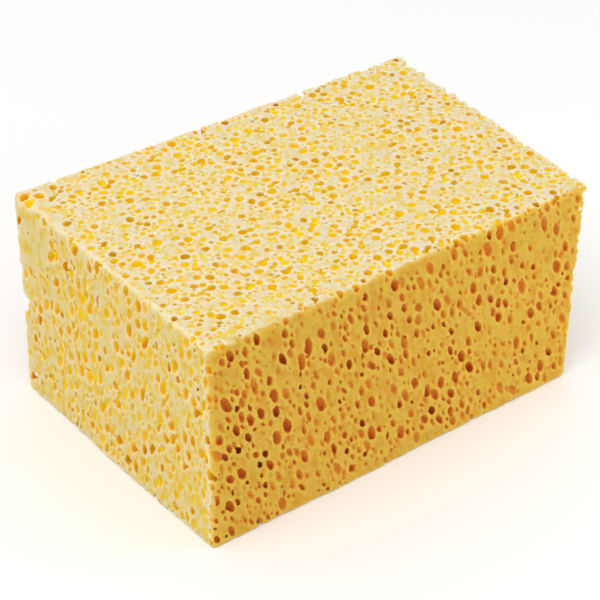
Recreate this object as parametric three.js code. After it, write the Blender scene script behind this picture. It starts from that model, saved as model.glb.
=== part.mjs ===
// A tiler's grout sponge: one block of coarse-pored cellulose, cut square from a
// larger loaf and used in the hand to wash grout off a tiled floor.
// Millimetres, +Z up. The origin is the middle of the face that the block stands on,
// +X runs along its length and the long side that faces -Y is its front.
// The pores are a matter of the surface: this solid is the block's outer shape.
import * as THREE from "three";

// Driving dimensions
const LENGTH = 170; // along X
const WIDTH = 110; // along Y
const HEIGHT = 86; // along Z
const EDGE_ROUNDING = 1.5; // the saw leaves soft arrises, and damp use wears them
const ROUNDING_STEPS = 3; // facets in each quarter turn of an arris
const BEVEL_INSET = 0.9 * EDGE_ROUNDING; // a little less, so that corners stay round at the top

// The sponge's own colour, for a dry block
const CELLULOSE = new THREE.MeshStandardMaterial({
  color: 0xe8cd82,
  roughness: 0.95,
  metalness: 0,
});

// The block seen from above: a rectangle with its four upright arrises rounded.
function blockOutline(length, width, radius) {
  const x = length / 2 - radius;
  const y = width / 2 - radius;
  const outline = new THREE.Shape();
  outline.absarc(x, y, radius, 0, Math.PI / 2);
  outline.absarc(-x, y, radius, Math.PI / 2, Math.PI);
  outline.absarc(-x, -y, radius, Math.PI, 1.5 * Math.PI);
  outline.absarc(x, -y, radius, 1.5 * Math.PI, 2 * Math.PI);
  outline.closePath();
  return outline;
}

// The outline drawn up to the block's height, with its top and bottom arrises rounded
// by a bevel that stays inside the outline. The block stands on Z 0.
function blockGeometry() {
  const geometry = new THREE.ExtrudeGeometry(
    blockOutline(LENGTH, WIDTH, EDGE_ROUNDING),
    {
      depth: HEIGHT - 2 * EDGE_ROUNDING,
      curveSegments: ROUNDING_STEPS,
      bevelThickness: EDGE_ROUNDING,
      bevelSize: BEVEL_INSET,
      bevelOffset: -BEVEL_INSET,
      bevelSegments: ROUNDING_STEPS,
    },
  );
  return geometry.translate(0, 0, EDGE_ROUNDING);
}

function spongeBlock() {
  const mesh = new THREE.Mesh(blockGeometry(), CELLULOSE);
  mesh.name = "sponge_block";
  return mesh;
}

const sponge = new THREE.Group();
sponge.add(spongeBlock());

export default sponge;
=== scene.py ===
import math

import bpy
import numpy as np
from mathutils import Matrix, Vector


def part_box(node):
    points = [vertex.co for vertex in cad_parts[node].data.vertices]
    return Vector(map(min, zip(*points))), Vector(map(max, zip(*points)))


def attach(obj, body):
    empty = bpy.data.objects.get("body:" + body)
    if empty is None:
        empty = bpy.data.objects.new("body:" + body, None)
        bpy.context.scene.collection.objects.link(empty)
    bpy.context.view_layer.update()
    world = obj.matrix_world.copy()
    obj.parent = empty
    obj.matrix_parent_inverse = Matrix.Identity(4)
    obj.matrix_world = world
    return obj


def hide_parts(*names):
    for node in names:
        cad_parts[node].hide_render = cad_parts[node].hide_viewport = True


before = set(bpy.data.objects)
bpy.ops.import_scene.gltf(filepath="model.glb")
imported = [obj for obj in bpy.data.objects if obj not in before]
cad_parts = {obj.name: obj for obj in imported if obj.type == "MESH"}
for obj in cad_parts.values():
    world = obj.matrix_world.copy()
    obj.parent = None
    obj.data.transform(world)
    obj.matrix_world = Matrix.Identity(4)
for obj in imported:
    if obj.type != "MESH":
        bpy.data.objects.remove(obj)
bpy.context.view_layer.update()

import openvdb
from mathutils import Matrix, Vector

# Lengths in this script are millimetres, in the row frame, until a mesh is made.
MM = 0.001
NODE = "sponge_block"

# The block. Its size comes from the CAD node.
LOW, HIGH = (np.array(corner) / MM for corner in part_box(NODE))
CENTRE = (LOW + HIGH) / 2
HALF = (HIGH - LOW) / 2
EDGE_RADIUS = 1.5
# The underside is this far above the floor, so that the two don't share a plane.
BASE_LIFT = 0.05

# A sawn and dried block is a little out of true. Each value is how far a corner lies
# from where a square block would have it.
LONGER_AT_BACK = 1.25
WIDER_AT_LEFT = 1.1
LONGER_AT_TOP = 0.6
LEAN_LEFT = 0.6
LEAN_BACK = 0.55
TALLER_AT_BACK = 0.4

# The foam is worked out on a fine grid that reaches a little past the block.
VOXEL = 0.45
GRID_MARGIN = 4.5
SEED = 20
# The scatter of a noise's knots that leaves it about one unit high once it is smoothed
KNOT_SCATTER = 1.9

# How wide and how high the bumps of the sawn skin are. The fuzz is on the pores' walls too.
WAVE_CELL, WAVE_HEIGHT = 26.0, 0.30
LUMP_CELL, LUMP_HEIGHT = 3.2, 0.14
FUZZ_CELL, FUZZ_HEIGHT = 1.15, 0.13

# The foam's grain: the pores are long ones, and their tops lean to the left and to the
# front, in degrees.
LEAN_TO_LEFT = 22
LEAN_TO_FRONT = 10
MEAN_STRETCH = 2.2

# The two sizes of pore. A pore's radius is measured across the grain: `radius` is the middle
# one, `spread` its scatter. `deepest` is how far below the skin a centre can be, `wall` how
# near two pores can be (1 is touching), `stretch` a pore's length over its width, `sway` the
# scatter of its lean in degrees, and `rim` how far its opening is rounded.
LARGE = dict(per_mm3=0.0165, radius=1.18, spread=0.21, narrowest=0.75, widest=1.75,
             deepest=4.2, wall=1.0, stretch=(1.9, 2.8), sway=6, rim=0.35)
SMALL = dict(per_mm3=0.055, radius=0.62, spread=0.20, narrowest=0.42, widest=0.9,
             deepest=1.4, wall=1.05, stretch=(1.8, 2.8), sway=8, rim=0.25)
# One width of a pore over its other width
FLATTENED = (0.85, 1.15)
# How many places are tried for a pore before it is left out
TRIES = 12
# How far outside the skin a pore's centre can be
OUTERMOST = 0.8
# Keeps the very middle of a pore from dividing by nought
NEARLY_ZERO = 1e-6

# How deep a pore's centre can be, as a share of its own reach, for the pore to open: on the
# ends, on the long sides, and on the top and bottom
OPEN_SHARE = (0.82, 0.68, 0.63)
# How much less that is at the +X end of the long sides, and how much more at the other end
SHALLOWER_TO_RIGHT = 0.24
# The share of the pores over the block's arrises that don't open
ARRIS_SPARED = 0.5

# A wide pore often has a smaller one in its inner wall. Its size is a share of the wide
# pore's radius, and its offset a share of the wide pore's reach.
CHILD_FROM, CHILD_SHARE = 0.95, 0.5
CHILD_SIZE, CHILD_STRETCH = (0.3, 0.5), 1.3
CHILD_OFFSET, CHILD_RIM = 0.95, 0.15

# The torn nicks in the arrises: centre and radii
TEARS = (
    ((86.0, 46.5, 86.5), (3.0, 4.5, 5.0)),
    ((86.5, 33.0, 87.0), (3.6, 7.0, 4.0)),
    ((86.5, 24.0, 87.0), (4.0, 3.2, 5.0)),
    ((86.0, 18.0, 87.0), (2.4, 2.2, 3.0)),
    ((-86.5, 56.0, 39.0), (3.2, 3.0, 5.0)),
)
TEAR_RIM = 0.1

# The values that stand for the three kinds of side in the material, which gives the ends and long
# sides painted shade
TOP_OR_BOTTOM, END, LONG_SIDE = 0.0, 0.5, 1.0
# The long sides' gold, which is painted shade, goes a little over the middle of their arrises, to
# a ragged line that is sharp on the skin and softer inside the pores.
GOLD_REACH, GOLD_RAGGED, RAGGED_CELL = 0.5, 0.6, 1.5
SHARP_SPLIT, SPLIT_SPREAD = 0.3, 0.5
# The bottom's colour keeps this far off the bottom's arrises.
BASE_SHY = 2.5
# How far from their arrises the ends' painted shade fades to the paler, lit colour of the top
PALE_REACH = 2.2
# How far around a point the foam is looked at to tell a hollow from a crest
CAVITY_REACH = 0.9
# The gap between the sides in the flat map
MAP_GAP = 3.0

# The foam's colours: on the top and bottom, on the ends, and on the long sides. The ends' and long
# sides' colours are darker, more saturated copies of the top's: painted shade.
SKIN = ((0.72, 0.635, 0.45), (0.67, 0.545, 0.262), (0.64, 0.415, 0.056))
# A paler colour on crests: a painted highlight
CREST_HIGHLIGHT = ((0.75, 0.675, 0.55), (0.71, 0.60, 0.36), (0.69, 0.49, 0.080))
SPOTS = ((0.745, 0.53, 0.035), (0.68, 0.455, 0.025), (0.61, 0.31, 0.030))
# Painted shade in the pores; the deepest colour is a painted glow on the top and ends, painted
# shade on the long sides
PORE_SHADE = ((0.89, 0.70, 0.018), (0.86, 0.63, 0.024), (0.72, 0.29, 0.032))
DEEP_GLOW_AND_SHADE = ((0.98, 0.78, 0.014), (0.93, 0.63, 0.016), (0.66, 0.145, 0.026))

# The foam's noises: how many bumps in a metre, and how many layers of finer bumps
MOTTLE_NOISE, SPECKLE_NOISE, ROUGH_NOISE = (300, 2), (1300, 2), (1800, 4)
# Where each blend of two colours starts, where it is full, and how strong it is then. The
# noises go from 0 to 1. The share of foam around a point is 0.5 on a flat skin, less on a
# crest and more in a hollow. The depths below the skin are in millimetres.
MOTTLE, SKIN_SPECKLE, PORE_SPECKLE = (0.43, 0.67, 0.8), (0.45, 0.75, 0.5), (0.46, 0.66, 0.7)
# The crest blend paints a highlight; the hollow, narrow and depth blends paint the pores' shade
# and glow.
HIGHLIGHT_ON_CREST, IN_HOLLOW, IN_NARROW = (0.47, 0.36, 0.4), (0.50, 0.64, 1), (0.60, 0.78, 1)
BELOW_SKIN, FAR_DOWN = (0.35, 1.0, 1), (1.2, 3.5, 1)
# How far red, green and blue light go inside the foam, as shares of a length in metres
GLOW_SHARES, GLOW_LENGTH = (1.0, 0.7, 0.25), 0.003
# The finest roughness of the skin, which is too fine for the mesh; its height is in metres
ROUGH_STRENGTH, ROUGH_HEIGHT = 0.4, 0.0003

# The studio, in metres and watts
FLOOR_HALF, FLOOR_SHADE = 4.0, 0.95
ROOM_STRENGTH = 0.75
KEY = dict(place=(-0.8, -0.35, 1.6), size=1.3, power=14)
FILL = dict(place=(0.30, -0.28, 0.10), size=0.15, power=0.2)
# More than usual, as the light goes from wall to wall inside the pores
LIGHT_BOUNCES = 8

# The camera, seen from the block's centre, in metres; its lens and sensor in millimetres
CAMERA_PLACE = (-0.4380, -0.5311, 0.4965)
CAMERA_FORWARD = (0.5121, 0.6249, -0.5893)
CAMERA_DOWN = (-0.3369, -0.4849, -0.8070)
CAMERA_LENS, CAMERA_SENSOR = 140, 36


# ---------------------------------------------------------------- the grid


def grid_axes():
    """The voxels' centres along X, Y and Z."""
    axes = []
    for low, high in zip(LOW - GRID_MARGIN, HIGH + GRID_MARGIN):
        count = int(math.ceil((high - low) / VOXEL)) + 1
        axes.append((low + VOXEL * np.arange(count)).astype(np.float32))
    return axes


def spread_along(values, axis, places, cell):
    """Stretches knots, one cell apart, into a smooth run along one axis."""
    place = (places - places[0]) / cell
    first = place.astype(int)
    part = (place - first).astype(np.float32)
    # The cubic spline's share of each of the four nearest knots
    weights = (
        (1 - part) ** 3 / 6,
        2 / 3 - part**2 + part**3 / 2,
        1 / 6 + part / 2 + part**2 / 2 - part**3 / 2,
        part**3 / 6,
    )
    shape = [-1 if k == axis else 1 for k in range(3)]
    total = 0
    for step, weight in enumerate(weights):
        total = total + np.take(values, first + step, axis=axis) * weight.reshape(shape)
    return total


def smooth_noise(axes, cell, rng):
    """Soft noise of about unit height whose bumps are about two cells across."""
    knots = [int((axis[-1] - axis[0]) / cell) + 5 for axis in axes]
    noise = rng.normal(0, KNOT_SCATTER, knots).astype(np.float32)
    for k in (2, 1, 0):
        noise = spread_along(noise, k, axes[k], cell)
    return noise


def sampled(values, axes, points):
    """The grid's values at the given points."""
    place = (points - np.array([axis[0] for axis in axes])) / VOXEL
    base = np.clip(place.astype(int), 0, np.array(values.shape) - 2)
    part = place - base
    total = 0
    for i in (0, 1):
        for j in (0, 1):
            for k in (0, 1):
                weight = np.prod(np.abs(1 - np.array([i, j, k]) - part), axis=1)
                total = total + weight * values[base[:, 0] + i, base[:, 1] + j, base[:, 2] + k]
    return total


def blurred(values, reach):
    """A soft average over about reach in every direction."""
    half = max(1, int(round(reach / VOXEL)))
    for axis in range(3):
        for _ in range(2):
            pad = [(half + 1, half) if k == axis else (0, 0) for k in range(3)]
            total = np.cumsum(np.pad(values, pad, mode="edge"), axis=axis, dtype=np.float64)
            ahead = np.take(total, range(2 * half + 1, total.shape[axis]), axis=axis)
            behind = np.take(total, range(total.shape[axis] - 2 * half - 1), axis=axis)
            values = ((ahead - behind) / (2 * half + 1)).astype(np.float32)
    return values


def straightened(x, y, z):
    """Where points, taken from the centre, would be if the block were true."""
    across, deep, up = x / HALF[0], y / HALF[1], z / HALF[2]
    along_x = x - LONGER_AT_BACK * across * deep - LONGER_AT_TOP * across * up + LEAN_LEFT * up
    along_y = y + WIDER_AT_LEFT * across * deep - LEAN_BACK * up
    along_z = z - TALLER_AT_BACK * deep * (1 + up) / 2
    return along_x, along_y, along_z


def block_distance(axes):
    """Distance to the plain block's surface, negative inside."""
    shapes = ((-1, 1, 1), (1, -1, 1), (1, 1, -1))
    x, y, z = ((a - c).astype(np.float32).reshape(s) for a, c, s in zip(axes, CENTRE, shapes))
    straight = straightened(x, y, z)
    past = [np.abs(part) - (half - EDGE_RADIUS) for part, half in zip(straight, HALF)]
    outside = sum(np.maximum(part, 0) ** 2 for part in past)
    inside = np.minimum(np.maximum(np.maximum(past[0], past[1]), past[2]), 0)
    return np.sqrt(outside) + inside - EDGE_RADIUS


# ---------------------------------------------------------------- the pores


def leaning(to_left, to_front, spin=0.0):
    """The axes of a pore whose top leans to the left and to the front."""
    turn = (
        Matrix.Rotation(math.radians(-to_left), 3, "Y")
        @ Matrix.Rotation(math.radians(to_front), 3, "X")
        @ Matrix.Rotation(spin, 3, "Z")
    )
    return np.array(turn, np.float32)


def random_turn(rng, sway):
    """The axes of one pore, near the foam's own lean."""
    to_left = rng.normal(LEAN_TO_LEFT, sway)
    to_front = rng.normal(LEAN_TO_FRONT, sway)
    return leaning(to_left, to_front, rng.uniform(0, 2 * math.pi))


def carve(field, axes, centre, radii, turn, rim):
    """Takes one ellipsoid out of the foam and rounds the rim that it leaves."""
    reach = np.sqrt(((turn * radii) ** 2).sum(1)) + rim + 2 * VOXEL
    slots = []
    local = []
    for axis, middle, far in zip(axes, centre, reach):
        first = int(max(0, (middle - far - axis[0]) / VOXEL))
        last = int(min(len(axis), (middle + far - axis[0]) / VOXEL + 2))
        if first >= last:
            return
        slots.append(slice(first, last))
        local.append(axis[first:last] - np.float32(middle))
    x, y, z = local[0][:, None, None], local[1][None, :, None], local[2][None, None, :]
    first_sum = 0
    second_sum = 0
    for k in range(3):
        along = (turn[0, k] * x + turn[1, k] * y + turn[2, k] * z) / radii[k]
        first_sum = first_sum + along**2
        second_sum = second_sum + (along / radii[k]) ** 2
    scaled = np.sqrt(first_sum)
    pore = scaled * (scaled - 1) / np.maximum(np.sqrt(second_sum), NEARLY_ZERO)
    window = field[slots[0], slots[1], slots[2]]
    blend = np.clip(0.5 - (window + pore) / (2 * rim), 0, 1)
    window += (-pore - window) * blend + rim * blend * (1 - blend)


class Packing:
    """Remembers pores, so that each new one keeps a wall between it and the others."""

    def __init__(self, widest):
        self.cell = 2 * widest
        # Along the grain a distance counts for less, as the pores are longer that way.
        self.grain = leaning(LEAN_TO_LEFT, LEAN_TO_FRONT) / (1, 1, MEAN_STRETCH)
        self.held = {}

    def near(self, home):
        """The pores held in a cell and in the 26 around it."""
        for i in (-1, 0, 1):
            for j in (-1, 0, 1):
                for k in (-1, 0, 1):
                    yield from self.held.get((home[0] + i, home[1] + j, home[2] + k), ())

    def fits(self, place, radius, wall):
        """Holds the pore and says True if there's room for it."""
        x, y, z = (float(part) for part in place @ self.grain)
        home = (int(x // self.cell), int(y // self.cell), int(z // self.cell))
        for other in self.near(home):
            gap = (other[0] - x) ** 2 + (other[1] - y) ** 2 + (other[2] - z) ** 2
            if gap < (wall * (other[3] + radius)) ** 2:
                return False
        self.held.setdefault(home, []).append((x, y, z, radius))
        return True


def shell_places(plain, axes, rng, count, deepest):
    """Random places from just outside the plain foam to the given depth inside it."""
    places = np.empty((0, 3))
    while len(places) < count:
        tries = rng.uniform(LOW - 2 * OUTERMOST, HIGH + 2 * OUTERMOST, (count, 3))
        inset = -sampled(plain, axes, tries)
        places = np.vstack([places, tries[(inset > -OUTERMOST) & (inset < deepest)]])
    return places[:count]


def packed_pores(kind, plain, axes, packing, rng):
    """Radius and place of each pore of one kind, the widest first."""
    shell = np.prod(HIGH - LOW + 2 * OUTERMOST) - np.prod(HIGH - LOW - 2 * kind["deepest"])
    count = int(kind["per_mm3"] * shell)
    sizes = kind["radius"] * np.exp(rng.normal(0, kind["spread"], count))
    sizes = -np.sort(-np.clip(sizes, kind["narrowest"], kind["widest"]))
    places = iter(shell_places(plain, axes, rng, count * TRIES, kind["deepest"]))
    for radius in sizes:
        for _ in range(TRIES):
            place = next(places)
            if packing.fits(place, radius, kind["wall"]):
                yield radius, place
                break


def opens(depth, place, reach, rng):
    """True if a pore is near enough to the skin to open and isn't kept off an arris."""
    gaps = HALF - np.abs(place - CENTRE)
    over = gaps < reach
    at_base = over[2] and place[2] < CENTRE[2]
    spared = over.sum() > 1 and (at_base or rng.uniform() < ARRIS_SPARED)
    side = int(np.argmin(gaps))
    share = OPEN_SHARE[side]
    if side == 1:
        share -= SHALLOWER_TO_RIGHT * (place[0] - CENTRE[0]) / HALF[0]
    return not spared and depth < share * reach[side]


def add_child(field, axes, place, radius, reach, turn, rng):
    """A smaller pore in the inner wall of a wide one."""
    toward = rng.normal(size=3)
    toward *= np.sign(toward @ (CENTRE - place)) / np.linalg.norm(toward)
    radii = radius * rng.uniform(*CHILD_SIZE) * np.array([1, 1, CHILD_STRETCH])
    carve(field, axes, place + toward * reach * CHILD_OFFSET, radii, turn, CHILD_RIM)


def add_pores(field, axes, rng):
    """Every pore that opens on the surface, large ones first."""
    plain = field.copy()
    packing = Packing(LARGE["widest"])
    for kind in (LARGE, SMALL):
        radii, places = zip(*packed_pores(kind, plain, axes, packing, rng))
        depths = -sampled(plain, axes, np.array(places))
        for radius, place, depth in zip(radii, places, depths):
            widths = radius * np.array([rng.uniform(*FLATTENED), 1, rng.uniform(*kind["stretch"])])
            turn = random_turn(rng, kind["sway"])
            reach = np.sqrt(((turn * widths) ** 2).sum(1))
            if not opens(depth, place, reach, rng):
                continue
            carve(field, axes, place, widths, turn, kind["rim"])
            if radius > CHILD_FROM and rng.uniform() < CHILD_SHARE:
                add_child(field, axes, place, radius, reach, turn, rng)


def add_tears(field, axes):
    """The torn nicks in the arrises."""
    upright = np.eye(3, dtype=np.float32)
    for place, radii in TEARS:
        carve(field, axes, np.array(place), np.array(radii), upright, TEAR_RIM)


def make_foam(axes, rng):
    """Distance to the foam's surface, and to the same block's without its pores."""
    plain = block_distance(axes)
    for cell, height in ((WAVE_CELL, WAVE_HEIGHT), (LUMP_CELL, LUMP_HEIGHT)):
        plain += height * smooth_noise(axes, cell, rng)
    add_tears(plain, axes)
    foam = plain.copy()
    add_pores(foam, axes, rng)
    fuzz = FUZZ_HEIGHT * smooth_noise(axes, FUZZ_CELL, rng)
    base = LOW[2] + BASE_LIFT - axes[2]
    return np.maximum(foam + fuzz, base), np.maximum(plain + fuzz, base)


# ---------------------------------------------------------------- the mesh


def polygons(field, axes):
    """The surface of the foam as points and four-cornered faces."""
    band = 3 * VOXEL
    grid = openvdb.FloatGrid(band)
    grid.copyFromArray(np.clip(field, -band, band))
    points, _, quads = grid.convertToPolygons(0.0, 0.0)
    return points * VOXEL + np.array([axis[0] for axis in axes]), quads


def main_shell(points, faces):
    """Keeps only the faces joined to the outer surface: no loose chips or bubbles."""
    label = np.arange(len(points))
    start = np.concatenate([faces[:, k] for k in range(4)])
    end = np.concatenate([faces[:, (k + 1) % 4] for k in range(4)])
    while True:
        low = np.minimum(label[start], label[end])
        before = label.copy()
        np.minimum.at(label, label[start], low)
        np.minimum.at(label, label[end], low)
        label = label[label]
        if (label == before).all():
            break
    shells, counts = np.unique(label, return_counts=True)
    keep = label == shells[counts.argmax()]
    number = np.cumsum(keep) - 1
    return points[keep], number[faces[keep[faces[:, 0]]]]


def new_mesh(name, points, quads):
    """A smooth mesh of four-cornered faces, in metres."""
    mesh = bpy.data.meshes.new(name)
    mesh.vertices.add(len(points))
    mesh.vertices.foreach_set("co", (points * MM).astype(np.float32).ravel())
    mesh.loops.add(quads.size)
    mesh.loops.foreach_set("vertex_index", quads.astype(np.int32).ravel())
    mesh.polygons.add(len(quads))
    mesh.polygons.foreach_set("loop_start", np.arange(0, quads.size, 4, dtype=np.int32))
    mesh.polygons.foreach_set("loop_total", np.full(len(quads), 4, np.int32))
    mesh.polygons.foreach_set("use_smooth", np.ones(len(quads), bool))
    mesh.update(calc_edges=True)
    return mesh


def painted_shade_side(true_place, depth, raggedness):
    """Which kind of side a point is on, blended where two of them meet, for the painted shade on
    the ends and long sides.
    """
    from_face = np.abs(HALF - np.abs(true_place))
    from_face[:, 1] -= GOLD_REACH + GOLD_RAGGED * raggedness
    from_face[:, 2] += np.where(true_place[:, 2] < 0, BASE_SHY, 0)
    softness = SHARP_SPLIT + SPLIT_SPREAD * np.maximum(depth, 0)
    share = np.exp(-from_face / softness[:, None])
    share /= share.sum(1)[:, None]
    from_arris = np.maximum(from_face[:, 1:].min(1), 0)
    end = END * share[:, 0] * (1 - np.exp(-from_arris / PALE_REACH))
    return end + LONG_SIDE * share[:, 1]


def add_bake_map(mesh, quads, true_place):
    """Lays the six sides out flat in one square, to scale."""
    middle = true_place[quads].mean(1)
    nearest = (HALF - np.abs(middle)).argmin(1)
    spread = np.zeros((*quads.shape, 2), np.float32)
    start_up = MAP_GAP
    for facing, across, up in ((2, 0, 1), (1, 0, 2), (0, 1, 2)):
        start_across = MAP_GAP
        for sign in (-1, 1):
            chosen = (nearest == facing) & (sign * middle[:, facing] > 0)
            corners = true_place[quads[chosen]]
            spread[chosen, :, 0] = start_across + HALF[across] + corners[..., across]
            spread[chosen, :, 1] = start_up + HALF[up] + corners[..., up]
            start_across += 2 * HALF[across] + MAP_GAP
        start_up += 2 * HALF[up] + MAP_GAP
    spread /= 4 * HALF[0] + 3 * MAP_GAP
    mesh.uv_layers.new(name="OFBake").data.foreach_set("uv", spread.ravel())


def make_sponge():
    """The foam block, with what its material needs to know at every point."""
    rng = np.random.default_rng(SEED)
    axes = grid_axes()
    foam, plain = make_foam(axes, rng)
    points, quads = main_shell(*polygons(foam, axes))
    depth = -sampled(plain, axes, points)
    solid = np.clip(0.5 - foam / VOXEL, 0, 1).astype(np.float32)
    cavity = sampled(blurred(solid, CAVITY_REACH), axes, points)
    true_place = np.stack(straightened(*(points - CENTRE).T), axis=1)
    raggedness = sampled(smooth_noise(axes, RAGGED_CELL, rng), axes, points)
    side = painted_shade_side(true_place, depth, raggedness)

    # The deepest faces come first, so that the skin above them wins in the flat map.
    quads = quads[np.argsort(-depth[quads].mean(1), kind="stable")]
    mesh = new_mesh("sponge", points, quads)
    for name, values in (("depth", depth), ("cavity", cavity), ("side", side)):
        layer = mesh.attributes.new(name, "FLOAT", "POINT")
        layer.data.foreach_set("value", values.astype(np.float32))
    add_bake_map(mesh, quads, true_place)
    sponge = bpy.data.objects.new("sponge", mesh)
    bpy.context.scene.collection.objects.link(sponge)
    return sponge


# ---------------------------------------------------------------- the material


class Nodes:
    """Short calls for building a material's node tree."""

    def __init__(self, name):
        self.material = bpy.data.materials.new(name)
        self.material.use_nodes = True
        self.tree = self.material.node_tree
        self.shader = self.tree.nodes["Principled BSDF"]

    def add(self, kind, **settings):
        """A new node with the given settings."""
        node = self.tree.nodes.new(kind)
        for key, value in settings.items():
            setattr(node, key, value)
        return node

    def link(self, output, socket):
        """Joins one node's output to another's input."""
        self.tree.links.new(output, socket)

    def attribute(self, name):
        """A value that the mesh holds at every point."""
        return self.add("ShaderNodeAttribute", attribute_name=name).outputs["Fac"]

    def painted_side_shades(self, side, colours):
        """One colour for each kind of side, blended where sides meet: the top's lit colour,
        painted shade on the ends and long sides.
        """
        node = self.add("ShaderNodeValToRGB")
        elements = node.color_ramp.elements
        elements.new(END)
        for element, place, colour in zip(elements, (TOP_OR_BOTTOM, END, LONG_SIDE), colours):
            element.position = place
            element.color = (*colour, 1)
        self.link(side, node.inputs["Fac"])
        return node.outputs["Color"]

    def mix(self, factor, first, second):
        """The first colour where the factor is 0 and the second where it is 1."""
        node = self.add("ShaderNodeMix", data_type="RGBA")
        # Sockets 6 and 7 take the colours, and output 2 gives the mixed one.
        self.link(factor, node.inputs[0])
        self.link(first, node.inputs[6])
        self.link(second, node.inputs[7])
        return node.outputs[2]

    def larger(self, first, second):
        """The larger of two values."""
        node = self.add("ShaderNodeMath", operation="MAXIMUM")
        self.link(first, node.inputs[0])
        self.link(second, node.inputs[1])
        return node.outputs[0]

    def spread(self, value, low, high, most):
        """Rises smoothly from 0 to most as the value goes from low to high."""
        node = self.add("ShaderNodeMapRange", interpolation_type="SMOOTHSTEP")
        for key, number in (("From Min", low), ("From Max", high), ("To Max", most)):
            node.inputs[key].default_value = number
        self.link(value, node.inputs["Value"])
        return node.outputs["Result"]

    def noise(self, scale, detail):
        """Noise that is stretched along the foam's grain."""
        grain = self.add("ShaderNodeMapping", vector_type="TEXTURE")
        lean = (math.radians(LEAN_TO_FRONT), -math.radians(LEAN_TO_LEFT), 0)
        grain.inputs["Rotation"].default_value = lean
        grain.inputs["Scale"].default_value = (1, 1, MEAN_STRETCH)
        self.link(self.add("ShaderNodeTexCoord").outputs["Object"], grain.inputs["Vector"])
        node = self.add("ShaderNodeTexNoise")
        node.inputs["Scale"].default_value = scale
        node.inputs["Detail"].default_value = detail
        self.link(grain.outputs["Vector"], node.inputs["Vector"])
        return node.outputs["Fac"]


def foam_colour(m):
    """Pale mottled skin, a painted highlight on crests, painted shade in the pores, and a painted
    glow in deep pores on the top and ends.
    """
    side, depth, cavity = (m.attribute(name) for name in ("side", "depth", "cavity"))
    skin, crest, spots, pore, deep = (m.painted_side_shades(side, c) for c in (SKIN, CREST_HIGHLIGHT, SPOTS, PORE_SHADE, DEEP_GLOW_AND_SHADE))
    skin = m.mix(m.spread(m.noise(*MOTTLE_NOISE), *MOTTLE), skin, spots)
    speckle = m.noise(*SPECKLE_NOISE)
    skin = m.mix(m.spread(speckle, *SKIN_SPECKLE), skin, spots)
    # Painted highlight: the paler colour on crests
    skin = m.mix(m.spread(cavity, *HIGHLIGHT_ON_CREST), skin, crest)
    pore = m.mix(m.spread(speckle, *PORE_SPECKLE), pore, deep)
    # The pores' painted shade, with a painted glow in the deepest pores on the top and ends
    narrow = m.larger(m.spread(cavity, *IN_NARROW), m.spread(depth, *FAR_DOWN))
    inside = m.larger(m.spread(cavity, *IN_HOLLOW), m.spread(depth, *BELOW_SKIN))
    return m.mix(inside, skin, m.mix(narrow, pore, deep))


def sponge_material():
    """Dull foam that lets a little light through, so that its pores glow."""
    m = Nodes("cellulose")
    m.link(foam_colour(m), m.shader.inputs["Base Color"])
    m.shader.inputs["Roughness"].default_value = 0.95
    m.shader.inputs["Specular IOR Level"].default_value = 0.15
    m.shader.inputs["Subsurface Weight"].default_value = 1.0
    m.shader.inputs["Subsurface Radius"].default_value = GLOW_SHARES
    m.shader.inputs["Subsurface Scale"].default_value = GLOW_LENGTH
    bump = m.add("ShaderNodeBump")
    bump.inputs["Strength"].default_value = ROUGH_STRENGTH
    bump.inputs["Distance"].default_value = ROUGH_HEIGHT
    m.link(m.noise(*ROUGH_NOISE), bump.inputs["Height"])
    m.link(bump.outputs["Normal"], m.shader.inputs["Normal"])
    return m.material


# ---------------------------------------------------------------- the studio


def make_floor():
    """A pale floor, which isn't part of the object."""
    mesh = bpy.data.meshes.new("floor")
    ways = ((-1, -1), (1, -1), (1, 1), (-1, 1))
    corners = [(x * FLOOR_HALF, y * FLOOR_HALF, 0) for x, y in ways]
    mesh.from_pydata(corners, [], [(0, 1, 2, 3)])
    floor = bpy.data.objects.new("floor", mesh)
    bpy.context.scene.collection.objects.link(floor)
    m = Nodes("pale_floor")
    m.shader.inputs["Base Color"].default_value = (FLOOR_SHADE, FLOOR_SHADE, FLOOR_SHADE, 1)
    m.shader.inputs["Roughness"].default_value = 0.9
    m.shader.inputs["Specular IOR Level"].default_value = 0.1
    mesh.materials.append(m.material)


def area_light(name, place, size, power):
    """A soft round lamp that points at the block and is itself unseen."""
    light = bpy.data.lights.new(name, "AREA")
    light.shape = "DISK"
    light.size = size
    light.energy = power
    lamp = bpy.data.objects.new(name, light)
    lamp.location = place
    toward = Vector(CENTRE * MM) - Vector(place)
    lamp.rotation_euler = toward.to_track_quat("-Z", "Y").to_euler()
    lamp.visible_camera = False
    bpy.context.scene.collection.objects.link(lamp)


def make_lights():
    """A white room, a large lamp above the left end and a small one low at the right."""
    world = bpy.data.worlds.new("soft_room")
    world.use_nodes = True
    background = world.node_tree.nodes["Background"]
    background.inputs["Color"].default_value = (1, 1, 1, 1)
    background.inputs["Strength"].default_value = ROOM_STRENGTH
    bpy.context.scene.world = world
    area_light("key", **KEY)
    area_light("fill", **FILL)


def make_camera():
    """The camera, above the front left corner and looking down at the block."""
    data = bpy.data.cameras.new("camera")
    data.lens = CAMERA_LENS
    data.sensor_width = CAMERA_SENSOR
    camera = bpy.data.objects.new("camera", data)
    forward = Vector(CAMERA_FORWARD).normalized()
    right = Vector(CAMERA_DOWN).cross(forward).normalized()
    up = right.cross(forward).normalized()
    camera.matrix_world = Matrix((right, up, -forward)).transposed().to_4x4()
    camera.location = Vector(CENTRE * MM) + Vector(CAMERA_PLACE)
    bpy.context.scene.collection.objects.link(camera)
    bpy.context.scene.camera = camera


sponge = make_sponge()
sponge.data.materials.append(sponge_material())
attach(sponge, "root")
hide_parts(NODE)
make_floor()
make_lights()
make_camera()
bpy.context.scene.view_settings.view_transform = "Standard"
bpy.context.scene.cycles.diffuse_bounces = LIGHT_BOUNCES
